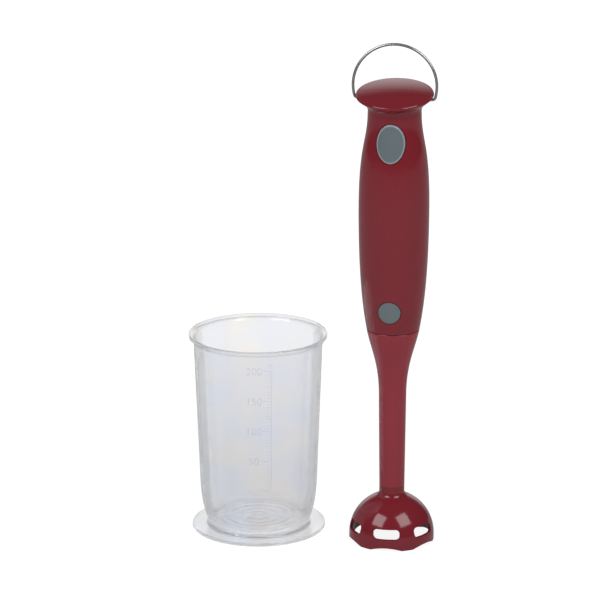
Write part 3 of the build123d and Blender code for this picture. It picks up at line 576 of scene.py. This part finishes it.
def cup_profile(sizes):
    """Radius and height along the cup's section, from the floor's middle round the rim to its underside."""
    rim = (CUP_HIGH.x - CUP_LOW.x) / 2
    top = CUP_HIGH.z
    low = CUP_LOW.z
    floor_under = low + sizes.foot
    floor_top = floor_under + sizes.floor
    flare_low = top - sizes.flare
    foot_in = sizes.foot_radius - sizes.wall
    low_in = sizes.low_radius - sizes.wall
    top_in = sizes.top_radius - sizes.wall
    round_edge = sizes.lip / 3
    lip_low = top - sizes.lip
    fillet_start = foot_in - 3 * MM
    fillet_corner = foot_in + 0.4 * MM
    fillet_end = (foot_in + 1.3 * MM, floor_top + 4 * MM)
    inner_turn = (low_in - 0.6 * MM, sizes.low_height - 8 * MM)
    inner_flare = (top_in + 0.4 * MM, top - 1.2 * MM)
    outer_flare = (sizes.top_radius + 0.3 * MM, top - 2.6 * MM)
    outer_turn = (sizes.low_radius - 0.7 * MM, floor_under + 9 * MM)
    points = [(0, floor_top)]
    for ring in FLOOR_RINGS:
        for i in range(RING_STEPS + 1):
            across = i / RING_STEPS
            lift = sizes.ring_height * math.sin(math.pi * across) ** 2
            points.append((ring + sizes.ring_width * (across - 0.5), floor_top + lift))
    points += bend((fillet_start, floor_top), (fillet_corner, floor_top), fillet_end)
    points += bend(points[-1], inner_turn, (low_in, sizes.low_height), 10)
    points += bend((top_in, flare_low), inner_flare, (rim - sizes.lip / 2, top), 10)
    points += bend((rim - round_edge, top), (rim, top), (rim, top - round_edge), 6)
    points += bend((rim, lip_low + round_edge), (rim, lip_low), (rim - round_edge, lip_low), 6)
    points += bend(points[-1], outer_flare, (sizes.top_radius, flare_low), 8)
    points += bend((sizes.low_radius, sizes.low_height), outer_turn, (sizes.foot_radius, floor_under), 12)
    points += [(sizes.foot_radius, low), (foot_in, low), (foot_in, floor_under), (0, floor_under)]
    return points


def base_profile(sizes):
    """Radius and height along the base disc's section."""
    radius = (BASE_HIGH.x - BASE_LOW.x) / 2
    thick = CUP_LOW.z
    collar_gap = 0.15 * MM
    collar = sizes.foot_radius + collar_gap
    collar_wall = collar + 0.3 * MM
    collar_corner = collar + 0.7 * MM
    collar_skirt = collar + 2.5 * MM
    height = BASE_HIGH.z
    points = [(0, thick), (collar, thick), (collar, height)]
    points += bend((collar_wall, height), (collar_corner, thick), (collar_skirt, thick), 6)
    points += bend((radius - thick / 2, thick), (radius, thick), (radius, thick / 2), 6)
    points += bend((radius, thick / 2), (radius, 0), (radius - thick / 2, 0), 6)
    points += [(0, 0)]
    return points


class MIXER_OT_scale(Operator):
    """Make the beaker's raised scale"""

    bl_idname = "mixer.scale"
    bl_label = "Beaker scale"

    def execute(self, context):
        sizes = context.scene.mixer_beaker
        clear = bpy.data.materials["polystyrene_clear_moulded"]
        strokes = bmesh.new()
        top = sizes.first_tick + sizes.ticks * sizes.tick
        flat_bar(strokes, 0, sizes.stroke, sizes.first_tick, top)
        for i in range(sizes.ticks + 1):
            reach = sizes.tick_length
            if i % TICKS_PER_NUMBER == 0:
                reach *= LONG_TICK
            elif i % (TICKS_PER_NUMBER // 2) == 0:
                reach *= MIDDLE_TICK
            height = sizes.first_tick + i * sizes.tick
            flat_bar(strokes, -reach, 0, height - sizes.stroke / 2, height + sizes.stroke / 2)
        for i in range(1, NUMBERS + 1):
            low = sizes.first_tick + TICKS_PER_NUMBER * i * sizes.tick - sizes.numeral / 2
            flat_number(strokes, str(NUMBER_STEP * i), -sizes.numeral_offset, low, sizes)
        wrap_on_wall(strokes, sizes)
        mesh = bpy.data.meshes.new("beaker_scale")
        strokes.to_mesh(mesh)
        strokes.free()
        scale = bpy.data.objects.new("beaker_scale", mesh)
        context.scene.collection.objects.link(scale)
        mesh.materials.append(clear)
        scale.visible_shadow = False
        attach(scale, "beaker")
        return {"FINISHED"}


def flat_bar(strokes, left, right, low, high):
    """Adds a flat bar to the scale's drawing: x along the wall, y out of it, z up."""
    cells = max(1, round((high - low) / STROKE_FACE))
    for i in range(cells):
        z0 = low + (high - low) * i / cells
        z1 = low + (high - low) * (i + 1) / cells
        corners = [(x, y, z) for y in (0, 1) for x, z in ((left, z0), (right, z0), (right, z1), (left, z1))]
        v = [strokes.verts.new(c) for c in corners]
        faces = [(4, 5, 6, 7), (3, 2, 1, 0), (1, 2, 6, 5), (3, 0, 4, 7)]
        if i == 0:
            faces.append((0, 1, 5, 4))
        if i == cells - 1:
            faces.append((2, 3, 7, 6))
        for f in faces:
            strokes.faces.new([v[k] for k in f])


def flat_number(strokes, text, middle, low, sizes):
    """Adds a number to the scale's drawing, in the built-in font."""
    curve = bpy.data.curves.new("scale_number", "FONT")
    curve.body = text
    curve.size = sizes.numeral * FONT_OVER_DIGIT
    curve.align_x = "CENTER"
    holder = bpy.data.objects.new("scale_number", curve)
    outline = bpy.data.meshes.new_from_object(holder)
    thick = bmesh.new()
    thick.from_mesh(outline)
    front = bmesh.ops.extrude_face_region(thick, geom=thick.faces[:])
    bmesh.ops.translate(
        thick, vec=(0, 0, 1), verts=[e for e in front["geom"] if isinstance(e, bmesh.types.BMVert)]
    )
    thick.verts.index_update()
    copies = [strokes.verts.new((middle + v.co.x, v.co.z, low + v.co.y)) for v in thick.verts]
    for face in thick.faces:
        strokes.faces.new([copies[v.index] for v in face.verts])
    thick.free()
    bpy.data.objects.remove(holder)
    bpy.data.curves.remove(curve)
    bpy.data.meshes.remove(outline)


def wrap_on_wall(strokes, sizes):
    """Bends the flat drawing round the outside of the cup's tapered wall."""
    rise = CUP_HIGH.z - sizes.flare - sizes.low_height
    lift = 0.02 * MM
    for v in strokes.verts:
        share = (v.co.z - sizes.low_height) / rise
        radius = sizes.low_radius + (sizes.top_radius - sizes.low_radius) * share
        angle = sizes.scale_angle + v.co.x / radius
        out = radius + lift + v.co.y * sizes.relief
        v.co = Vector(
            (CUP_CENTRE.x + out * math.sin(angle), CUP_CENTRE.y - out * math.cos(angle), v.co.z)
        )
    bmesh.ops.recalc_face_normals(strokes, faces=strokes.faces)


def bearing(azimuth, elevation):
    """The direction from the object towards a camera or lamp."""
    flat = math.cos(elevation)
    return Vector((math.sin(azimuth) * flat, -math.cos(azimuth) * flat, math.sin(elevation)))


class MIXER_OT_stage(Operator):
    """Set the floor, the softboxes, the room and the camera"""

    bl_idname = "mixer.stage"
    bl_label = "Stage"

    def execute(self, context):
        stage = context.scene.mixer_stage
        add_floor(stage)
        set_room(context.scene, stage)
        target = Vector(stage.target)
        for side, name in ((-1, "softbox_left"), (1, "softbox_right")):
            lamp = bpy.data.lights.new(name, "AREA")
            lamp.shape = "SQUARE"
            lamp.size = stage.lamp_size
            lamp.energy = stage.lamp_power
            holder = bpy.data.objects.new(name, lamp)
            way = bearing(stage.azimuth + side * stage.lamp_side, stage.lamp_rise)
            holder.location = target + way * stage.lamp_distance
            holder.rotation_euler = way.to_track_quat("Z", "Y").to_euler()
            context.scene.collection.objects.link(holder)
        camera = bpy.data.cameras.new("photo_camera")
        camera.lens = stage.lens
        camera.sensor_width = stage.sensor
        holder = bpy.data.objects.new("photo_camera", camera)
        back = bearing(stage.azimuth, stage.elevation)
        holder.location = target + back * stage.distance
        holder.rotation_euler = (-back).to_track_quat("-Z", "Y").to_euler()
        context.scene.collection.objects.link(holder)
        context.scene.camera = holder
        context.scene.view_settings.view_transform = "Standard"
        return {"FINISHED"}


def add_floor(stage):
    """A white floor that fades into the backdrop and keeps a faint shadow."""
    half = stage.floor_size / 2
    mesh = bpy.data.meshes.new("floor")
    corners = [(-half, -half, 0), (half, -half, 0), (half, half, 0), (-half, half, 0)]
    mesh.from_pydata(corners, [], [(0, 1, 2, 3)])
    floor = bpy.data.objects.new("floor", mesh)
    floor.location.z = -FLOOR_DROP
    bpy.context.scene.collection.objects.link(floor)
    material, tree, output = blank_material("paper_white_sweep")
    path = add_node(tree, "ShaderNodeLightPath").outputs
    place = add_node(tree, "ShaderNodeTexCoord").outputs["Object"]
    from_set = add_node(tree, "ShaderNodeVectorMath", {0: place, 1: SET_CENTRE}, operation="DISTANCE")
    from_lit = add_node(tree, "ShaderNodeVectorMath", {0: place, 1: LIT_CENTRE}, operation="DISTANCE")
    # The camera sees white paper that leaves room for the shadow close to the set.
    plain = add_node(
        tree,
        "ShaderNodeMapRange",
        {
            "Value": from_set.outputs["Value"],
            "From Min": SHADOW_NEAR,
            "From Max": SHADOW_FAR,
            "To Min": SHADOW_PAPER,
            "To Max": PLAIN_PAPER,
        },
    )
    # Clear plastic sees the paper behind the set as a painted pool of light, with painted shade close to the
    # set and a dimmer room around it.
    through = add_node(
        tree,
        "ShaderNodeMapRange",
        {
            "Value": from_set.outputs["Value"],
            "From Min": CLEAR_NEAR,
            "From Max": CLEAR_FAR,
            "To Min": CLEAR_DIM,
            "To Max": CLEAR_LIT,
        },
    )
    spread = add_node(
        tree,
        "ShaderNodeMapRange",
        {
            "Value": from_lit.outputs["Value"],
            "From Min": PATCH_NEAR,
            "From Max": PATCH_FAR,
            "To Min": 1.0,
            "To Max": stage.room_in_clear,
        },
    )
    clear = add_node(
        tree,
        "ShaderNodeMath",
        {0: through.outputs["Result"], 1: spread.outputs["Result"]},
        operation="MULTIPLY",
    )
    # Gloss shows the same paper, but less of it.
    mirrored = add_node(
        tree, "ShaderNodeMix", {0: path["Is Transmission Ray"], 2: stage.paper_in_gloss, 3: clear.outputs[0]}
    )
    strength = add_node(
        tree,
        "ShaderNodeMix",
        {0: path["Is Camera Ray"], 2: mirrored.outputs[0], 3: plain.outputs["Result"]},
    )
    glow = add_node(tree, "ShaderNodeEmission", {"Color": WHITE, "Strength": strength.outputs[0]})
    film = add_node(tree, "ShaderNodeBsdfDiffuse", {"Color": SHADOW_GREY})
    shown = add_node(tree, "ShaderNodeAddShader", {0: glow.outputs[0], 1: film.outputs[0]})
    paper = add_node(tree, "ShaderNodeBsdfDiffuse", {"Color": PAPER_GREY})
    bounced = add_node(
        tree,
        "ShaderNodeMath",
        {0: path["Is Glossy Ray"], 1: path["Is Transmission Ray"]},
        operation="MAXIMUM",
    )
    direct = add_node(
        tree, "ShaderNodeMath", {0: path["Is Camera Ray"], 1: bounced.outputs[0]}, operation="MAXIMUM"
    )
    pick = add_node(
        tree, "ShaderNodeMixShader", {0: direct.outputs[0], 1: paper.outputs[0], 2: shown.outputs[0]}
    )
    tree.links.new(pick.outputs[0], output.inputs["Surface"])
    mesh.materials.append(material)


def set_room(scene, stage):
    """A room that is white behind the set and dim elsewhere, and that the camera sees as white."""
    world = bpy.data.worlds.new("studio")
    world.use_nodes = True
    tree = world.node_tree
    tree.nodes.clear()
    path = add_node(tree, "ShaderNodeLightPath").outputs
    way = add_node(tree, "ShaderNodeTexCoord").outputs["Generated"]
    behind = (-math.sin(stage.azimuth), math.cos(stage.azimuth), 0)
    towards = add_node(tree, "ShaderNodeVectorMath", {0: way, 1: behind}, operation="DOT_PRODUCT")
    backdrop = add_node(
        tree,
        "ShaderNodeMapRange",
        {
            "Value": towards.outputs["Value"],
            "From Min": math.cos(stage.backdrop_edge),
            "From Max": math.cos(stage.backdrop_edge / 2),
        },
        interpolation_type="SMOOTHSTEP",
    )
    gloss = add_node(tree, "ShaderNodeMix", {0: path["Is Glossy Ray"], 2: stage.room, 3: stage.room_in_gloss})
    level = add_node(
        tree, "ShaderNodeMix", {0: path["Is Transmission Ray"], 2: gloss.outputs[0], 3: stage.room_in_clear}
    )
    lit = add_node(
        tree, "ShaderNodeMath", {0: backdrop.outputs["Result"], 1: level.outputs[0]}, operation="MAXIMUM"
    )
    strength = add_node(
        tree, "ShaderNodeMath", {0: path["Is Camera Ray"], 1: lit.outputs[0]}, operation="MAXIMUM"
    )
    light = add_node(tree, "ShaderNodeBackground", {"Color": WHITE, "Strength": strength.outputs[0]})
    add_node(tree, "ShaderNodeOutputWorld", {"Surface": light.outputs[0]})
    scene.world = world


class MIXER_PT_panel(Panel):
    """Lists the steps that dress the mixer"""

    bl_idname = "MIXER_PT_panel"
    bl_label = "Toy Mixer"
    bl_space_type = "VIEW_3D"
    bl_region_type = "UI"
    bl_category = "Toy Mixer"

    def draw(self, context):
        for step in STEPS:
            self.layout.operator(step.bl_idname)
        for group_name, group in GROUPS.items():
            column = self.layout.column(align=True)
            for name in group.__annotations__:
                column.prop(getattr(context.scene, group_name), name)


STEPS = (
    MIXER_OT_handle,
    MIXER_OT_buttons,
    MIXER_OT_loop,
    MIXER_OT_foot,
    MIXER_OT_works,
    MIXER_OT_beaker,
    MIXER_OT_scale,
    MIXER_OT_stage,
)
GROUPS = {
    "mixer_colours": MixerColours,
    "mixer_buttons": ButtonSizes,
    "mixer_beaker": BeakerSizes,
    "mixer_stage": StageSizes,
}


def register():
    for item in (*GROUPS.values(), *STEPS, MIXER_PT_panel):
        bpy.utils.register_class(item)
    for name, group in GROUPS.items():
        setattr(bpy.types.Scene, name, PointerProperty(type=group))


def unregister():
    for name in GROUPS:
        delattr(bpy.types.Scene, name)
    for item in reversed((*GROUPS.values(), *STEPS, MIXER_PT_panel)):
        bpy.utils.unregister_class(item)


def main():
    register()
    bpy.ops.mixer.handle()
    bpy.ops.mixer.buttons()
    bpy.ops.mixer.loop()
    bpy.ops.mixer.foot()
    bpy.ops.mixer.works()
    bpy.ops.mixer.beaker()
    bpy.ops.mixer.scale()
    bpy.ops.mixer.stage()


if __name__ == "__main__":
    main()
